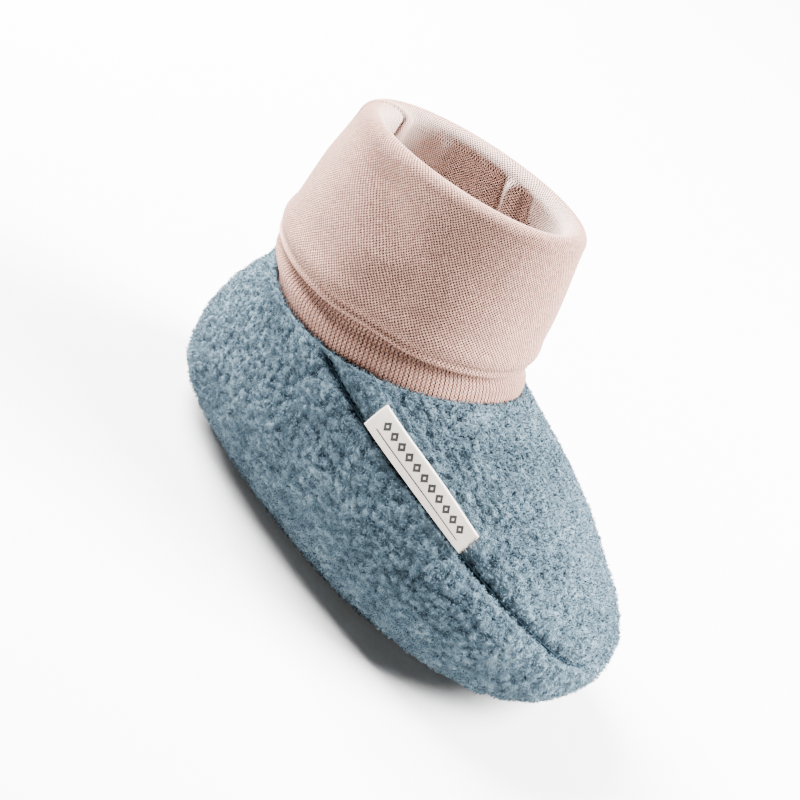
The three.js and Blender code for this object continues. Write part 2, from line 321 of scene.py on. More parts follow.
def wool_point(phi, level):
    """A point of the wool's form and the direction out of it."""
    near = through([section_ring(section, np.array([phi - 0.01, phi, phi + 0.01]), INSTEP_HEIGHT, 0)
                    for section in WOOL_SECTIONS], [level - 0.01, level, level + 0.01])
    out = np.cross(near[1, 2] - near[1, 0], near[2, 1] - near[0, 1])
    return near[1, 1], out / np.linalg.norm(out)


def seam_places(side, count):
    """Angles and levels along the seam, from the toe to the collar, on the left (1) or the right (-1)."""
    share = np.linspace(0, 1, count)
    levels = SEAM_TOE_LEVEL + (COLLAR_LEVEL - SEAM_TOE_LEVEL) * share**SEAM_BEND
    return share, side * SEAM_ANGLE * share, levels


def seam_strength(share):
    """How strong the seam is at a share of the way from the toe to the collar."""
    return 0.5 + 0.5 * share


def seam_tree():
    """The seam's points to search, and the share of the way to the collar of each."""
    points, shares = [], []
    for side in (1, -1):
        for share, phi, level in zip(*seam_places(side, 300)):
            points.append(wool(np.array([phi]), [level])[0, 0])
            shares.append(share)
    tree = kdtree.KDTree(len(points))
    for i, point in enumerate(points):
        tree.insert(point, i)
    tree.balance()
    return tree, shares


def nap_height(point):
    """How far the wool's curls stand up at a point, from about -1 to 1."""
    spot = Vector(point)
    lump = noise.voronoi(spot / NAP_LUMP)[0][0]
    tuft = noise.noise(spot / 0.0024)
    curl = noise.noise(spot / 0.0008)
    patch = noise.noise(spot / 0.006)
    return 0.9 - 1.9 * lump + 0.4 * tuft + 0.35 * curl + 0.5 * patch


def skin(name, rings, material, wrap, along_values=None):
    """A mesh of quads over closed rings, which wraps from the last ring to the first, or is capped at both.

    The cloth map runs once round the rings, and along them by row or by the values given for the rows.
    """
    count, around = rings.shape[:2]
    rows = np.arange(count if wrap else count - 1)
    i, j = np.meshgrid(rows, np.arange(around), indexing="ij")
    here, beside = i * around + j, i * around + (j + 1) % around
    above = (i + 1) % count * around
    faces = np.stack([here, beside, above + (j + 1) % around, above + j], axis=-1).reshape(-1, 4)
    across = np.stack([j, j + 1, j + 1, j], axis=-1).reshape(-1)
    along = np.stack([i, i, i + 1, i + 1], axis=-1).reshape(-1)
    faces = faces.tolist()
    if not wrap:
        turn = np.arange(around)
        faces += [turn[::-1].tolist(), (turn + (count - 1) * around).tolist()]
        across = np.concatenate([across, turn[::-1], turn])
        along = np.concatenate([along, np.zeros(around, int), np.full(around, count - 1)])
    mesh = bpy.data.meshes.new(name)
    mesh.from_pydata(rings.reshape(-1, 3).tolist(), [], faces)
    if along_values is None:
        along_values = np.arange(count + 1) / len(rows)
    cloth = mesh.uv_layers.new(name="cloth")
    cloth.data.foreach_set("uv", np.stack([across / around, along_values[along]], axis=-1).reshape(-1))
    mesh.shade_smooth()
    mesh.materials.append(material)
    piece = bpy.data.objects.new(name, mesh)
    bpy.context.scene.collection.objects.link(piece)
    return piece


def mark(piece, name, values):
    """Stores a number for each point of a piece."""
    attribute = piece.data.attributes.new(name, "FLOAT", "POINT")
    attribute.data.foreach_set("value", np.asarray(values, dtype=np.float32).reshape(-1))


upper_phi = np.linspace(0, 2 * math.pi, 560, endpoint=False)
upper_levels = np.linspace(0, COLLAR_LEVEL, 116)
upper_form = wool(upper_phi, upper_levels)
upper_out = outward(upper_form)
seam_points, seam_shares = seam_tree()
nap = np.zeros(upper_form.shape[:2])
raise_by = np.zeros(upper_form.shape[:2])
seam_core = np.zeros(upper_form.shape[:2])
for i, ring in enumerate(upper_form):
    for j, point in enumerate(ring):
        _, nearest, distance = seam_points.find(point)
        strength = seam_strength(seam_shares[nearest])
        groove = math.exp(-((distance / SEAM_HALF_WIDTH) ** 2))
        puff = math.exp(-(((distance - PUFF_AWAY) / PUFF_HALF_WIDTH) ** 2))
        # Along the seam the nap is pressed lower; as the nap also sets the wool's tone, this darkens the
        # groove as painted shade.
        pressed_and_shaded = strength * math.exp(-((distance / PRESSED_SHADE_HALF_WIDTH) ** 2))
        nap[i, j] = nap_height(point) - 1.1 * pressed_and_shaded
        raise_by[i, j] = strength * (PUFF_HEIGHT * puff - SEAM_DEPTH * groove)
        seam_core[i, j] = strength * math.exp(-((distance / CORE_HALF_WIDTH) ** 2))
edge_fade = np.clip(np.minimum(upper_levels, COLLAR_LEVEL - upper_levels) / 0.12, 0.15, 1)[:, None]
upper_face = upper_form + upper_out * ((raise_by + NAP_DEPTH * nap * 0.5) * edge_fade)[..., None]
inner_levels = np.linspace(COLLAR_LEVEL, 0, 24)
inner_form = wool(upper_phi, inner_levels)
wall = WOOL_WALL + (COLLAR_EDGE - WOOL_WALL) * np.clip(inner_levels - COLLAR_LEVEL + 1, 0, 1)
inner_face = inner_form + outward(inner_form) * wall[:, None, None]
rolled_edge = (upper_face[-1:] + inner_face[:1]) / 2 + np.array([0, 0, COLLAR_ROLL])
upper = skin("wool_upper", np.concatenate([upper_face, rolled_edge, inner_face]), shaded_boiled_wool, True)
inner_nap = np.full(inner_face.shape[:2], 0.4)
mark(upper, "nap", np.concatenate([nap * 0.5 + 0.5, nap[-1:] * 0.5 + 0.4, inner_nap]))
mark(upper, "growth", np.zeros((len(upper_face) + 1 + len(inner_face), len(upper_phi))))
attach(upper, "root")
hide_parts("upper")

# The seam's dark line: a thin near-black tube at the groove's bottom, as painted shade in the crease.
# It runs from one side of the collar round the toe to the other, and thins towards the toe.
CREASE_RADIUS = 0.00028
CREASE_DEPTH = 0.00122
CREASE_POINTS = 480
SEAM_CREASE_SHADE = (0.001, 0.002, 0.003, 1)


def thin_curve(name, radius):
    """A round curve, with no points yet."""
    curve = bpy.data.curves.new(name, "CURVE")
    curve.dimensions = "3D"
    curve.bevel_depth = radius
    curve.bevel_resolution = 1
    thing = bpy.data.objects.new(name, curve)
    bpy.context.scene.collection.objects.link(thing)
    return curve, thing


crease_curve, crease = thin_curve("seam_crease", CREASE_RADIUS)
crease_curve.use_fill_caps = True
crease_line = crease_curve.splines.new("POLY")
crease_line.points.add(CREASE_POINTS - 1)
for place, point in zip(np.linspace(-1, 1, CREASE_POINTS).tolist(), crease_line.points):
    share = abs(place)
    level = SEAM_TOE_LEVEL + (COLLAR_LEVEL - SEAM_TOE_LEVEL) * share**SEAM_BEND
    spot, out = wool_point(SEAM_ANGLE * place, level)
    point.co = (*(spot - out * CREASE_DEPTH * seam_strength(share)), 1)
    point.radius = 0.6 + 0.4 * share
crease_tree, crease_shader, crease_material = cloth_material(
    "painted_seam_shade", {"Roughness": 1.0, "Specular IOR Level": 0.0})
crease_fibres = grain(crease_tree, object_place(crease_tree), FIBRE_SCALE, 2)
# Near-black colour: painted shade in the seam's crease.
feed(crease_tree, crease_shader, Base_Color=blend(crease_tree, crease_fibres, SEAM_CREASE_SHADE, WOOL_HOLLOW_SHADE))
crease_curve.materials.append(crease_material)
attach(crease, "root")

# The label: a cream cotton tape, folded double, with its raw edge caught in the seam on the shoe's right and
# its fold standing up over the vamp, more so towards the toe. A plain border is woven in.
LABEL_LENGTH = 0.033
LABEL_WIDTH = 0.0062
LABEL_THICKNESS = 0.001
LABEL_LIFT = 0.0014
LABEL_START = 0.0189
LABEL_STAND = math.radians(36)
GAP = 0.0003
TAPE_CREAM = (0.56, 0.51, 0.455, 1)
TAPE_SHADE = (0.36, 0.315, 0.27, 1)
TAPE_THREAD = (0.006, 0.006, 0.007, 1)
WARP_YARNS = 26
WEFT_YARNS = 120
BORDER_REPEATS = 13
TAPE_RINGS = 90
TAPE_STEPS = 22


def seam_share_at(distance):
    """The share of the seam's way from the toe at a distance along it from the collar."""
    shares, angles, levels = seam_places(-1, 400)
    points = np.array([wool_point(angle, level)[0] for angle, level in zip(angles, levels)])[::-1]
    walked = np.concatenate([[0], np.cumsum(np.linalg.norm(np.diff(points, axis=0), axis=1))])
    return np.interp(distance, walked, shares[::-1])


def label_rings(count, widths, heights):
    """Rings round the tape, at places across it and heights over its underside, from end to end."""
    rings = []
    ends = [seam_share_at(LABEL_START + along * LABEL_LENGTH) for along in (0, 1)]
    for step, share in enumerate(np.linspace(*ends, count)):
        spots = [wool_point(-SEAM_ANGLE * s, SEAM_TOE_LEVEL + (COLLAR_LEVEL - SEAM_TOE_LEVEL) * s**SEAM_BEND)
                 for s in (share, share - 0.01)]
        forward = spots[1][0] - spots[0][0]
        inward = -np.cross(forward / np.linalg.norm(forward), spots[0][1])
        inward /= np.linalg.norm(inward)
        sway = 0.0005 * math.sin(2.2 * math.pi * step / (count - 1) + 0.9)
        stand = LABEL_STAND * step / (count - 1)
        lift = (LABEL_LIFT + sway) * np.sin(math.pi / 2 * widths / LABEL_WIDTH) + heights
        reach = widths * math.cos(stand) - lift * math.sin(stand)
        rise = GAP + widths * math.sin(stand) + lift * math.cos(stand)
        rings.append(spots[0][0] + reach[:, None] * inward + rise[:, None] * spots[0][1])
    return np.array(rings)


def tape_material():
    tree, shader, material = cloth_material("cream_cotton_tape", {
        "Roughness": 0.85, "Sheen Weight": 0.05, "Specular IOR Level": 0.15})
    cloth = node(tree, "ShaderNodeUVMap", {"uv_map": "tape"}, {})
    along, across = [node(tree, "ShaderNodeSeparateXYZ", {}, {"Vector": cloth}, i) for i in range(2)]
    warp = (across * (2 * math.pi * WARP_YARNS)).maths("SINE")
    weft = (along * (2 * math.pi * WEFT_YARNS)).maths("SINE")
    slub = grain(tree, object_place(tree), 700, 2)
    weave = warp * weft * 0.5 + 0.5
    from_middle = ((along * BORDER_REPEATS).maths("FRACT") - 0.5).maths("ABSOLUTE")
    from_row = (across - 0.6).maths("ABSOLUTE")
    spread = from_middle * 2.3 + from_row * 5.0
    diamond = spread.maths("LESS_THAN", 1.0) - spread.maths("LESS_THAN", 0.3)
    rule = (across - 0.25).maths("ABSOLUTE").maths("LESS_THAN", 0.022)
    between_ends = (along - 0.5).maths("ABSOLUTE").maths("LESS_THAN", 0.5 - 1 / BORDER_REPEATS)
    border = (diamond + rule) * between_ends
    tone = weave * 0.3 + slub * 0.6 + 0.15
    woven = border * stored(tree, "face") * 0.97
    dark = (woven + stored(tree, "frayed") * (slub * 2.4 - 0.5)).maths("MINIMUM", 1.0)
    colour = blend(tree, dark, blend(tree, tone, TAPE_SHADE, TAPE_CREAM), TAPE_THREAD)
    feed(tree, shader, Base_Color=colour, Normal=bump(tree, 0.35, 0.00012, weave + woven * 0.5))
    return material


across_tape = np.linspace(0, 1, TAPE_STEPS)
round_fold = np.linspace(math.pi / 2, -math.pi / 2, 9)[1:-1]
half_tape = LABEL_THICKNESS / 2
tape_widths = np.concatenate([
    across_tape * (LABEL_WIDTH - half_tape), LABEL_WIDTH - half_tape + half_tape * np.cos(round_fold),
    across_tape[::-1] * (LABEL_WIDTH - half_tape)])
tape_heights = np.concatenate([
    np.full(TAPE_STEPS, LABEL_THICKNESS), half_tape * (1 + np.sin(round_fold)), np.zeros(TAPE_STEPS)])
tape_rings = label_rings(TAPE_RINGS, tape_widths, tape_heights)
label = skin("woven_label", tape_rings[::-1], tape_material(), False)
tape_place = np.repeat(np.linspace(1, 0, TAPE_RINGS), len(tape_widths))
tape_across = np.tile(tape_widths / LABEL_WIDTH, TAPE_RINGS)
corner_points = np.array([loop.vertex_index for loop in label.data.loops])
tape_map = label.data.uv_layers.new(name="tape")
tape_map.data.foreach_set("uv", np.stack([
    tape_place[corner_points], tape_across[corner_points]], axis=-1).reshape(-1))
mark(label, "face", np.tile((tape_heights > 0.9 * LABEL_THICKNESS).astype(float), TAPE_RINGS))
mark(label, "frayed", np.clip((tape_place - 0.985) / 0.015, 0, 1))
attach(label, "root")
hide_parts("label")

# The label's thread ends: a few dark ends of the border's yarn that show between the tape's two layers.
THREAD_RADIUS = 0.00016
THREAD_LENGTH = 0.0011
THREAD_BROWN = (0.04, 0.03, 0.025, 1)
thread_curve, threads = thin_curve("label_threads", THREAD_RADIUS)
tape_end = tape_rings[-1]
beyond = tape_end - tape_rings[-4]
beyond /= np.linalg.norm(beyond, axis=-1, keepdims=True)
for i, column in enumerate(range(2, 21, 2)):
    low = tape_end[len(tape_widths) - 1 - column]
    high = tape_end[column]
    root = low + (high - low) * (0.35 + 0.3 * (i % 2)) - beyond[column] * 0.0004
    swing = (high - low) * 0.5 * math.sin(i * 2.3) + (tape_end[column + 1] - high) * 1.3 * math.cos(i * 1.7)
    length = THREAD_LENGTH * (0.65 + 0.35 * math.sin(i * 4.1))
    thread = thread_curve.splines.new("POLY")
    thread.points.add(4)
    for step, point in enumerate(thread.points):
        share = step / 4
        point.co = (*(root + beyond[column] * length * share + swing * share**2), 1)
thread_tree, thread_shader, thread_material = cloth_material("dark_yarn", {"Roughness": 0.85})
thread_fibres = grain(thread_tree, object_place(thread_tree), 4000, 2)
feed(thread_tree, thread_shader, Base_Color=blend(thread_tree, thread_fibres, TAPE_THREAD, THREAD_BROWN))
thread_curve.materials.append(thread_material)
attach(threads, "root")
tape_points = tape_rings[:, :TAPE_STEPS:3].reshape(-1, 3)
tape_tree = kdtree.KDTree(len(tape_points))
for i, point in enumerate(tape_points):
    tape_tree.insert(point, i)
tape_tree.balance()

# The loose curls of the nap: short wool hairs, bent into hooks, that stand out of the cloth all over its
# face and blur its outline. They grow from the shell itself, about four to each square millimetre, with none
# under the label and few in the seam.
CURL_HEIGHT = 0.0008
CURL_WIDTH = 0.0002
CURL_STEPS = 3
CURLS_PER_SQUARE_METRE = 4.2e6
CURL_SEED = 11
UNDER_LABEL = 0.0013


def curl_hair():
    """One hooked hair, a ribbon of a few faces that tapers to its tip."""
    spine = []
    for step in range(CURL_STEPS + 1):
        share = step / CURL_STEPS
        turn = math.radians(200) * share
        reach = CURL_HEIGHT * 0.42 * (1 - math.cos(turn))
        rise = CURL_HEIGHT * (0.7 * math.sin(turn) + 0.25 * share) - 0.00012
        half = CURL_WIDTH / 2 * (1 - 0.6 * share)
        spine += [(reach, -half, rise), (reach, half, rise)]
    faces = [(2 * i, 2 * i + 1, 2 * i + 3, 2 * i + 2) for i in range(CURL_STEPS)]
    mesh = bpy.data.meshes.new("curl_hair")
    mesh.from_pydata(spine, [], faces)
    mesh.shade_smooth()
    return bpy.data.objects.new("curl_hair", mesh)


def input_socket(tree, name, kind, value=None):
    """Adds a named input to a node group."""
    socket = tree.interface.new_socket(name, in_out="INPUT", socket_type="NodeSocket" + kind)
    if value is not None:
        socket.default_value = value


def nap_tree():
    """A node group that plants a hair, leaning and turned at random, wherever a piece has growth."""
    tree = bpy.data.node_groups.new("nap", "GeometryNodeTree")
    input_socket(tree, "Cloth", "Geometry")
    input_socket(tree, "Hair", "Object")
    input_socket(tree, "Density", "Float", 1e6)
    input_socket(tree, "Lean", "Float", 1.0)
    input_socket(tree, "Size", "Float", 1.0)
    input_socket(tree, "Seed", "Int", 0)
    input_socket(tree, "Material", "Material")
    tree.interface.new_socket("Geometry", in_out="OUTPUT", socket_type="NodeSocketGeometry")
    given = tree.nodes.new("NodeGroupInput")
    want = {socket.name: Wire(tree, socket) for socket in given.outputs if socket.name}
    growth = node(tree, "GeometryNodeInputNamedAttribute", {"data_type": "FLOAT"}, {"Name": "growth"})
    planted = tree.nodes.new("GeometryNodeDistributePointsOnFaces")
    tree.links.new(want["Cloth"].socket, planted.inputs["Mesh"])
    tree.links.new((growth * want["Density"]).socket, planted.inputs["Density"])
    tree.links.new(want["Seed"].socket, planted.inputs["Seed"])
    lean = node(tree, "ShaderNodeCombineXYZ", {}, {0: want["Lean"], 1: want["Lean"], 2: math.pi})
    against = node(tree, "ShaderNodeVectorMath", {"operation": "SCALE"}, {0: lean, "Scale": -1.0})
    turned = node(tree, "FunctionNodeRandomValue", {"data_type": "FLOAT_VECTOR"},
                  {0: against, 1: lean, "Seed": want["Seed"]})
    sized = node(tree, "FunctionNodeRandomValue", {"data_type": "FLOAT"},
                 {2: want["Size"] * 0.6, 3: want["Size"] * 1.35, "Seed": want["Seed"] + 1})
    hair = node(tree, "GeometryNodeObjectInfo", {}, {"Object": want["Hair"]}, "Geometry")
    hairs = node(tree, "GeometryNodeInstanceOnPoints", {}, {
        "Points": Wire(tree, planted.outputs["Points"]), "Instance": hair,
        "Rotation": Wire(tree, planted.outputs["Rotation"]), "Scale": sized})
    leaning = node(tree, "GeometryNodeRotateInstances", {}, {"Instances": hairs, "Rotation": turned})
    shade = node(tree, "FunctionNodeRandomValue", {"data_type": "FLOAT"}, {"Seed": want["Seed"] + 2}, 1)
    ground = node(tree, "GeometryNodeInputNamedAttribute", {"data_type": "FLOAT"}, {"Name": "nap"})
    toned = node(tree, "GeometryNodeStoreNamedAttribute", {"data_type": "FLOAT", "domain": "INSTANCE"},
                 {"Geometry": leaning, "Name": "nap", "Value": shade * 0.55 + ground * 0.6 - 0.05})
    plain = node(tree, "GeometryNodeRealizeInstances", {}, {"Geometry": toned})
    finished = node(tree, "GeometryNodeSetMaterial", {}, {"Geometry": plain, "Material": want["Material"]})
    tree.links.new(finished.socket, tree.nodes.new("NodeGroupOutput").inputs["Geometry"])
    return tree


def made_by_nodes(name, ground, tree, values):
    """A plain mesh that a node group makes from a piece, with the group's inputs set by their names."""
    worker = bpy.data.objects.new(name + "_worker", ground.data)
    bpy.context.scene.collection.objects.link(worker)
    modifier = worker.modifiers.new("nodes", "NODES")
    modifier.node_group = tree
    for item in tree.interface.items_tree:
        if item.in_out == "INPUT" and item.name in values:
            modifier[item.identifier] = values[item.name]
    evaluated = worker.evaluated_get(bpy.context.evaluated_depsgraph_get())
    mesh = bpy.data.meshes.new_from_object(evaluated)
    mesh.name = name
    bpy.data.objects.remove(worker)
    piece = bpy.data.objects.new(name, mesh)
    bpy.context.scene.collection.objects.link(piece)
    return piece


hair = curl_hair()
nap_group = nap_tree()
vamp_line = np.array([np.interp(abs(angle), SEAM_ANGLE * np.linspace(0, 1, 300), seam_places(1, 300)[2])
                      for angle in (upper_phi + math.pi) % (2 * math.pi) - math.pi])
on_vamp = (upper_levels[:, None] > vamp_line[None, :]).astype(float)
on_left = (np.sin(upper_phi) > 0).astype(float)[None, :] * np.ones(nap.shape)
bare = np.array([[tape_tree.find(point)[2] < UNDER_LABEL for point in ring] for ring in upper_face])
for name, panel, seed in (
    ("side_nap_left", (1 - on_vamp) * on_left, 0),
    ("side_nap_right", (1 - on_vamp) * (1 - on_left), 3),
    ("vamp_nap_left", on_vamp * on_left, 6),
    ("vamp_nap_right", on_vamp * (1 - on_left), 9),
):
    outer_growth = panel * ~bare * (1 - 0.75 * seam_core)
    growth = np.concatenate([outer_growth, outer_growth[-1:], np.zeros(inner_face.shape[:2])])
    upper.data.attributes["growth"].data.foreach_set("value", growth.astype(np.float32).reshape(-1))
    curls = made_by_nodes(name, upper, nap_group, {
        "Hair": hair, "Density": CURLS_PER_SQUARE_METRE, "Lean": 0.9, "Size": 1.0,
        "Seed": CURL_SEED + seed, "Material": loose_curls})
    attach(curls, "root")

# The sole: a panel of the same wool, dished up at its edge to the seam with the upper, its nap worn flatter.
SOLE_THICKNESS = 0.003
SOLE_TURN = 0.006
UNDERSIDE = 0.0005
PRESSED_NAP = 0.00012


def sole_rings(phi, insets, height):
    """Rings at a height over the sole's underside, drawn in from its seam by each inset."""
    edge = wool(phi, [0])[0]
    around = np.roll(edge, -1, axis=0) - np.roll(edge, 1, axis=0)
    inward = np.stack([-around[:, 1], around[:, 0], 0 * around[:, 0]], axis=-1)
    inward /= np.linalg.norm(inward, axis=-1, keepdims=True)
    rings = edge + np.asarray(insets)[:, None, None] * inward
    rise = np.clip(1 - np.asarray(insets) / SOLE_TURN, 0, 1)[:, None] ** 1.6
    rings[..., 2] = UNDERSIDE + (edge[:, 2] - UNDERSIDE) * rise + height
    return rings


def sole_flat(ring, count):
    """Rings from the middle of the sole's flat out to a ring, which isn't among them."""
    middle = (ring.max(axis=0) + ring.min(axis=0)) / 2
    return middle + (ring - middle) * np.linspace(0.01, 1, count + 1)[:-1, None, None]


def felted(rings, height, shares):
    """Rings raised by the wool's nap, and how high the nap stands at each point."""
    tufts = np.clip([[nap_height(point) for point in ring] for ring in rings], -1, 1)
    raised = rings.copy()
    raised[..., 2] += height * tufts * np.asarray(shares)[:, None]
    return raised, tufts


sole_phi = np.linspace(0, 2 * math.pi, 360, endpoint=False)
seam_rings = wool(sole_phi, [0, 0.02])
seam_rise = seam_rings[1] - seam_rings[0]
seam_rise *= GAP / np.linalg.norm(seam_rise, axis=-1, keepdims=True)
seam_edges = [seam_rings[0] - seam_rise, seam_rings[0] - seam_rise - outward(seam_rings)[0] * WOOL_WALL]
turned = sole_rings(sole_phi, np.linspace(SOLE_TURN, 0.0005, 16), 0)
under, under_nap = felted(np.concatenate([sole_flat(turned[0], 62), turned]), -0.00016, np.ones(78))
topside = sole_rings(sole_phi, [0.0015, 0.003, 0.0045, SOLE_TURN], SOLE_THICKNESS)
sole = skin("wool_sole", np.concatenate([
    under, seam_edges, topside, sole_flat(topside[-1], 6)[::-1]]), shaded_boiled_wool, False)
rest = np.full((12, len(sole_phi)), 0.4)
mark(sole, "nap", np.concatenate([0.45 + 0.35 * under_nap, rest]))
mark(sole, "growth", np.concatenate([np.ones(under_nap.shape), 0 * rest]))
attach(sole, "root")
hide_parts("sole")
sole_curls = made_by_nodes("sole_nap", sole, nap_group, {
    "Hair": hair, "Density": CURLS_PER_SQUARE_METRE * 0.6, "Lean": 1.35, "Size": 0.32,
    "Seed": CURL_SEED + 12, "Material": loose_curls})
for vertex in sole_curls.data.vertices:
    vertex.co.z = max(vertex.co.z, PRESSED_NAP)
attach(sole_curls, "root")

# The insole: a loose layer of pale wool felt, cut to the flat of the sole. Its edge turns up a little.
INSOLE_INSET = 0.003
INSOLE_THICKNESS = 0.0016
FELT_PALE = (0.50, 0.47, 0.42, 1)
FELT_GREY = (0.33, 0.31, 0.28, 1)


def felt_material():
    tree, shader, material = cloth_material("pale_felt", {"Roughness": 0.95, "Sheen Weight": 0.2})
    place = object_place(tree)
    fibres = grain(tree, place, 1100, 4, distortion=2.0)
    patches = grain(tree, place, 160, 2)
    colour = blend(tree, fibres * 0.7 + patches * 0.5 - 0.1, FELT_GREY, FELT_PALE)
    feed(tree, shader, Base_Color=colour, Normal=bump(tree, 0.5, 0.0003, fibres))
    return material


insole_insets = [SOLE_TURN, 0.0052, 0.0044, 0.0036, INSOLE_INSET + 0.0002]
insole_low = sole_rings(sole_phi, insole_insets, SOLE_THICKNESS + GAP)
insole_edge = sole_rings(sole_phi, [INSOLE_INSET], SOLE_THICKNESS + GAP + INSOLE_THICKNESS / 2)
insole_top = sole_rings(sole_phi, insole_insets[::-1], SOLE_THICKNESS + GAP + INSOLE_THICKNESS)
insole = skin("felt_insole", np.concatenate([
    sole_flat(insole_low[0], 10), insole_low, insole_edge, insole_top, sole_flat(insole_top[-1], 30)[::-1],
]), felt_material(), False)
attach(insole, "root")
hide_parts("insole")

# The grip dots: clear silicone printed in drops on the sole, milky and speckled where the wool's hairs reach
# into it. They lie in staggered rows on the flat of the sole, each where the model has it.
DROP_SECTION = [(0.99, 0), (1, 0.2), (0.985, 0.5), (0.93, 0.76), (0.82, 0.9), (0.6, 0.975), (0.3, 1)]
DROP_CLEAR = (0.085, 0.13, 0.16, 1)
DROP_MILKY = (0.30, 0.37, 0.40, 1)


def grip_material():
    tree, shader, material = cloth_material("speckled_silicone", {"Coat Roughness": 0.25, "IOR": 1.41})
    place = object_place(tree)
    speckle = grain(tree, place, 1500, 3, 0.7)
    cloud = grain(tree, place, 260, 2)
    colour = blend(tree, speckle * 2.2 + cloud * 1.2 - 1.2, DROP_CLEAR, DROP_MILKY)
    relief = bump(tree, 0.4, 0.0002, speckle)
    feed(tree, shader, Base_Color=colour, Normal=relief, Roughness=speckle * 0.4 + 0.25)
    shader.inputs["Coat Weight"].default_value = 0.35
    return material


dot_names = sorted(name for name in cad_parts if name.startswith("grip_dot"))
dot_mesh = bmesh.new()
dot_turn = np.linspace(0, 2 * math.pi, 28, endpoint=False)
for dot_name in dot_names:
    low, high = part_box(dot_name)
    radius, depth = (high[0] - low[0]) / 2, high[2] - low[2]
    middle = Vector(((low[0] + high[0]) / 2, (low[1] + high[1]) / 2, high[2]))
    rows = []
    for share, drop in DROP_SECTION:
        wobble = 1 + 0.03 * np.sin(dot_turn * 3 + middle.x * 900)
        rows.append([dot_mesh.verts.new(middle + Vector((
            radius * share * w * math.cos(turn), radius * share * w * math.sin(turn), -depth * drop)))
            for turn, w in zip(dot_turn, wobble)])
    for row, after in zip(rows, rows[1:]):
        for i in range(len(row)):
            dot_mesh.faces.new((row[i], after[i], after[i - 1], row[i - 1]))
    dot_mesh.faces.new(rows[0])
    dot_mesh.faces.new(rows[-1][::-1])
bmesh.ops.recalc_face_normals(dot_mesh, faces=dot_mesh.faces)
dots_mesh = bpy.data.meshes.new("grip_dots")
dot_mesh.to_mesh(dots_mesh)
dot_mesh.free()
dots_mesh.shade_smooth()
dots_mesh.materials.append(grip_material())
dots = bpy.data.objects.new("grip_dots", dots_mesh)
bpy.context.scene.collection.objects.link(dots)
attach(dots, "root")
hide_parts(*dot_names)

# The cuff: a tube of fine cotton knit, sewn into the collar and turned down outside over itself. The rim is
# a soft fold that the tube's seam crosses. The lower edge is a narrow roll that stands off in front, and a
# shallow valley slants down the flap from the heel side of the rim.
CUFF_HEIGHT = 0.0377
KNIT_WALL = 0.0022
FOLD_SLACK = 0.001
CUFF_TUCK = 0.004
TUCK_LEAN = 0.0016
NECK_BULGE = 0.0026
NECK_TOP = 3
TUBE_RIM = 5
HEM_PLACE = 3.07
CUFF_SECTIONS = [
    Section(0.04, -0.449, -0.204, 0.363, 1.95, 0.143, 0.037, -0.048),
    Section(0.027, -0.449, -0.211, 0.325, 2, 0.472, 0.373, 0.284),
    Section(0.002, -0.442, -0.22, 0.241, 2.06, 0.928, 0.836, 0.743),
]
KNIT_PALE = (0.42, 0.236, 0.172, 1)
KNIT_PINK = (0.165, 0.073, 0.057, 1)
KNIT_HOLE_SHADE = (0.030, 0.008, 0.006, 1)
KNIT_REVERSE_LIT = (0.72, 0.55, 0.49, 1)
KNIT_STITCH = 0.00078
KNIT_STITCHES_ROUND = 228
KNIT_RIBS_ROUND = 184
RIDGE_ANGLE = math.radians(87)
RIM_SEAM_ANGLE = math.radians(187)
RIM_SEAM_SWEEP = math.radians(21)
RIM_SEAM_DEPTH = 0.0005
TUBE_HALF_WIDTH = 0.019
RIDGE_HEIGHT = 0.0016
RIDGE_TROUGH = 0.0032
HEM_STAND = 0.0012
HEM_ROLL = 0.0007
HEM_STITCHED = 0.00045
FLAP_WAVE = 0.0006
NECK_WAVE = 0.0004
NECK_PUFF = 0.0016
VALLEY_DEPTH = 0.0019
VALLEY_ANGLE = math.radians(-112)
VALLEY_SLANT = math.radians(44)


def tube(phi, places):
    """The tube's outer face from its foot in the collar, over the neck and under the flap, to the rim."""
    top = wool(phi, [COLLAR_LEVEL - 0.02, COLLAR_LEVEL])
    collar = top[1] - outward(top)[1] * COLLAR_EDGE
    around = np.roll(collar, -1, axis=0) - np.roll(collar, 1, axis=0)
    out = np.stack([around[:, 1], -around[:, 0], 0 * around[:, 0]], axis=-1)
    out /= np.linalg.norm(out, axis=-1, keepdims=True)
    up = Vector((0, 0, 1))
    collar = collar - GAP * out + 2 * GAP * np.array(up)
    foot = collar - TUCK_LEAN * out - CUFF_TUCK * np.array(up)
    above = [section_ring(section, phi, CUFF_HEIGHT, INSTEP_HEIGHT) for section in CUFF_SECTIONS]
    bulge = NECK_BULGE * (1 - np.cos(phi)) / 2
    neck = (collar + above[0]) / 2 + bulge[:, None] * out
    return through([foot, collar, neck] + above, places), out


def hump(values, width):
    """A soft hump, 1 where the values are 0."""
    return np.exp(-((values / width) ** 2))


def turn_from(phi, angle):
    """How far angles are from one angle, the short way round."""
    return (phi - angle + math.pi) % (2 * math.pi) - math.pi


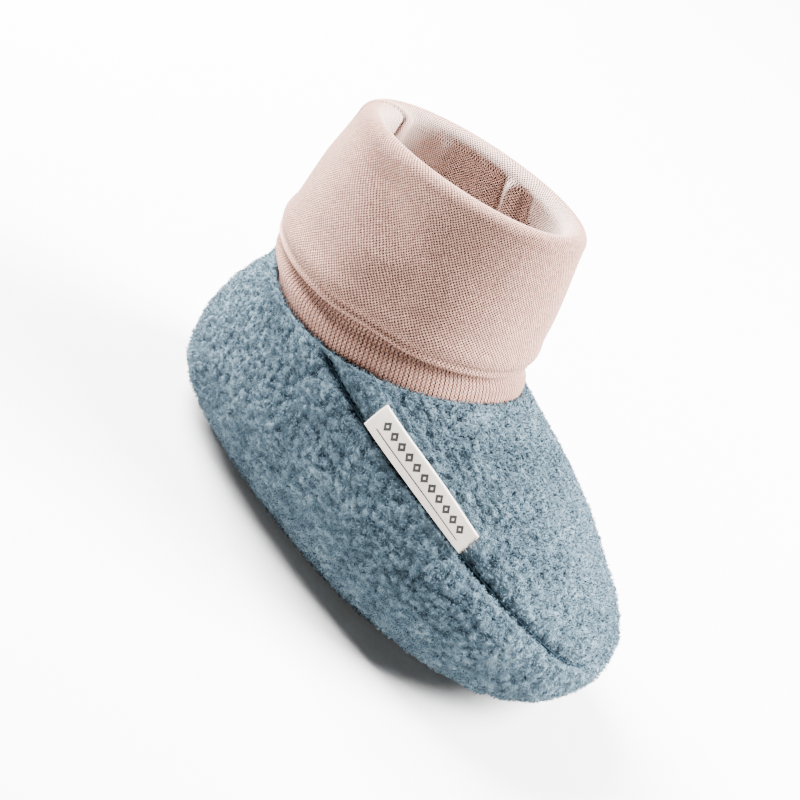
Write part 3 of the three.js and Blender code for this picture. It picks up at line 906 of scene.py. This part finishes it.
cuff_phi = np.linspace(0, 2 * math.pi, 360, endpoint=False)
flap_inside = FOLD_SLACK
flap_outside = FOLD_SLACK + KNIT_WALL
rim_middle = (flap_outside - KNIT_WALL) / 2
rim_radius = flap_outside - rim_middle
rim_turns = np.linspace(math.pi, 0, 18)
hem_turns = np.linspace(0, math.pi, 12)
hem_radius = KNIT_WALL / 2
hem_offsets = flap_inside + hem_radius * (1 + np.cos(hem_turns))
profile = [
    (np.linspace(0, TUBE_RIM, 70)[:-1], -KNIT_WALL, 0, 0),
    (np.full(18, TUBE_RIM), rim_middle + rim_radius * np.cos(rim_turns), rim_radius * np.sin(rim_turns), 1),
    (np.linspace(TUBE_RIM, HEM_PLACE, 60)[1:-1], flap_outside, 0, 2),
    (np.full(12, HEM_PLACE), hem_offsets, -hem_radius * np.sin(hem_turns), 3),
    (np.linspace(HEM_PLACE, TUBE_RIM, 12)[1:], flap_inside, 0, 4),
    (np.linspace(TUBE_RIM, 0, 46), 0, 0, 5),
]
places, offsets, lifts, parts = [
    np.concatenate([np.broadcast_to(band[i], band[0].shape) for band in profile]) for i in range(4)]
cuff_rings, cuff_out = tube(cuff_phi, places)
above_hem = np.maximum(cuff_rings[..., 2] - tube(cuff_phi, [HEM_PLACE])[0][0, :, 2], 0)
on_flap = np.isin(parts, (2, 3))[:, None]
in_flap = np.isin(parts, (2, 3, 4))[:, None]
inside = (parts == 0)[:, None]
on_neck = ((parts == 5) & (places < NECK_TOP))[:, None]
under_rim = np.clip((TUBE_RIM - places) / 0.6, 0, 1)[:, None]
stand = HEM_STAND * hump(turn_from(cuff_phi, math.radians(-52)), 0.6)
stand = stand - 0.0006 * hump(turn_from(cuff_phi, math.radians(-125)), 0.6)
stand = stand - 0.001 * hump(turn_from(cuff_phi, 0.45), 0.5)
hem_roll = HEM_ROLL * hump(above_hem - 0.0034, 0.0024) - HEM_STITCHED * hump(above_hem - 0.0008, 0.0007)
offset = offsets[:, None] + in_flap * stand * np.exp(-above_hem / 0.009) + on_flap * hem_roll
ridge = turn_from(cuff_phi, RIDGE_ANGLE) * TUBE_HALF_WIDTH
beside = hump(ridge - RIDGE_TROUGH, 0.0012) + hump(ridge + RIDGE_TROUGH, 0.0012)
inside_rim = inside * np.clip((TUBE_RIM - places) / 0.1, 0, 1)[:, None]
offset = offset - inside_rim * (RIDGE_HEIGHT * hump(ridge, 0.0013) - 0.0013 * beside)
crease_inside = 0.0012 * hump(turn_from(cuff_phi, math.radians(119)), 0.11)
fold_inside = 0.0008 * hump(turn_from(cuff_phi, math.radians(133)), 0.13)
offset = offset + inside_rim * (crease_inside - fold_inside)
wave = np.array([[noise.noise(Vector(point) / 0.016) for point in ring] for ring in cuff_rings])
offset = offset + wave * (FLAP_WAVE * on_flap * under_rim + NECK_WAVE * on_neck)
puffed = hump(turn_from(cuff_phi, 0.35), 0.7) * hump(places[:, None] - 2.1, 0.75)
offset = offset + NECK_PUFF * on_neck * puffed
below_rim = TUBE_RIM - places
valley_angle = VALLEY_ANGLE + VALLEY_SLANT * np.clip(below_rim / 0.95, 0, 1)
valley = hump(turn_from(cuff_phi[None, :], valley_angle[:, None]), 0.27)
offset = offset - VALLEY_DEPTH * on_flap * valley * np.clip(below_rim / 0.25, 0, 1)[:, None]
sweep = np.where(parts == 1, (offsets - rim_middle) / rim_radius, np.where(parts == 0, -1, 1))
seam_angle = RIM_SEAM_ANGLE + RIM_SEAM_SWEEP * sweep
seam_turn = turn_from(cuff_phi[None, :], seam_angle[:, None])
over_rim = ((parts == 1) | ((parts == 0) & (places > 4.4)) | ((parts == 2) & (places > 4.85)))[:, None]
rim_seam = over_rim * hump(seam_turn, 0.02)
offset = offset - RIM_SEAM_DEPTH * rim_seam * sweep[:, None]
cuff_rings = cuff_rings + offset[..., None] * cuff_out[None]
cuff_rings[..., 2] += lifts[:, None] * (1 - 0.12 * rim_seam)
steps = np.linalg.norm(np.roll(cuff_rings, -1, axis=0) - cuff_rings, axis=-1).mean(axis=1)
cloth_run = np.concatenate([[0], np.cumsum(steps)])


def knit_material(name):
    constants = {"Roughness": 0.9, "Sheen Weight": 0.1, "Sheen Roughness": 0.5,
                 "Sheen Tint": (1, 0.76, 0.64, 1), "Specular IOR Level": 0.1}
    tree, shader, material = cloth_material(name, constants)
    cloth = node(tree, "ShaderNodeUVMap", {"uv_map": "cloth"}, {})
    around, along = [node(tree, "ShaderNodeSeparateXYZ", {}, {"Vector": cloth}, i) for i in range(2)]
    place = object_place(tree)
    pull = grain(tree, place, 330, 1)
    drag = grain(tree, place, 410, 1)
    wales = (around * (2 * math.pi * KNIT_STITCHES_ROUND) + pull * 4.0).maths("COSINE")
    courses = (along * (2 * math.pi / KNIT_STITCH) + drag * 4.0).maths("COSINE")
    lattice = (wales * courses).maths("MAXIMUM")
    troughs = (around * (2 * math.pi * KNIT_RIBS_ROUND) + pull * 1.4).maths("COSINE").maths("MAXIMUM")
    ribbed, smooth, sunk, reverse = [stored(tree, name) for name in ("ribbed", "smooth", "sunk", "reverse")]
    yarn = grain(tree, place, 1300, 2, 0.6)
    patch = grain(tree, place, 90, 1)
    # The knit's holes and the troughs of its ribs are painted dark, as painted shade in them.
    open_mesh = lattice ** 0.55 * 1.5
    mesh_holes = open_mesh * (1 - ribbed) * 1.15 + (open_mesh * 0.35 + troughs * troughs * 0.5) * ribbed
    holes = mesh_holes * (1 - smooth) * (yarn * 2.2 + 0.35)
    tone = yarn * 1.7 + patch * 0.5 - 0.6
    cotton = blend(tree, tone, KNIT_PINK, KNIT_PALE)
    # The reverse face inside the cuff is paler, and its colour is also raised as painted light, standing in
    # for light inside the cuff.
    inner = blend(tree, reverse * (yarn * 0.5 + 0.5), cotton, KNIT_REVERSE_LIT)
    edged = blend(tree, smooth * 0.45, inner, KNIT_PALE)
    # Painted shade: the holes, troughs and sunk lines are blended towards a near-black.
    depth = (holes * (1 - reverse * 0.45) + sunk * 0.95).maths("MINIMUM", 1.0)
    colour = blend(tree, depth, edged, KNIT_HOLE_SHADE)
    feed(tree, shader, Base_Color=colour, Normal=bump(tree, 1.0, 0.0004, yarn * 0.35 - holes))
    return material


cuff = skin("knit_cuff", cuff_rings[::-1], knit_material("pink_cotton_knit"), True, cloth_run[::-1])
everywhere = np.ones(cuff_rings.shape[:2])
hem_ribs = 0.6 * on_flap * np.clip(1 - (above_hem - 0.001) / 0.0025, 0, 1)
mark(cuff, "ribbed", (np.clip(on_neck + hem_ribs, 0, 1) * everywhere)[::-1])
# The smooth edge of the roll is real; its paleness is strongest on the heel side, where the light falls, as
# painted highlight.
roll_lit_there = 0.15 + 0.85 * hump(turn_from(cuff_phi, math.radians(-150)), 0.75)
pale_and_lit_roll = roll_lit_there * on_flap * np.clip(1 - above_hem / 0.0011, 0, 1)
# Painted highlight: a pale band on the rim beside its seam.
seam_highlight = over_rim * hump(seam_turn + 0.11, 0.06)
mark(cuff, "smooth", np.clip(pale_and_lit_roll + seam_highlight, 0, 1)[::-1])
# Sunk: the rim seam's dark line with painted shade in its groove, and painted shade in the troughs beside
# the inner ridge.
beside_ridge = hump(ridge - 0.0021, 0.0006) + hump(ridge + 0.0021, 0.0006)
mark(cuff, "sunk", np.clip(rim_seam + 0.5 * inside_rim * beside_ridge, 0, 1)[::-1])
# The inside and the rim's inner half take the pale reverse colour, which is partly painted light.
inner_rim = np.clip(-(offsets - rim_middle) / rim_radius, 0, 1) * (parts == 1)
mark(cuff, "reverse", (np.maximum(inside, inner_rim[:, None]) * everywhere)[::-1])
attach(cuff, "root")
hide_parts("cuff")
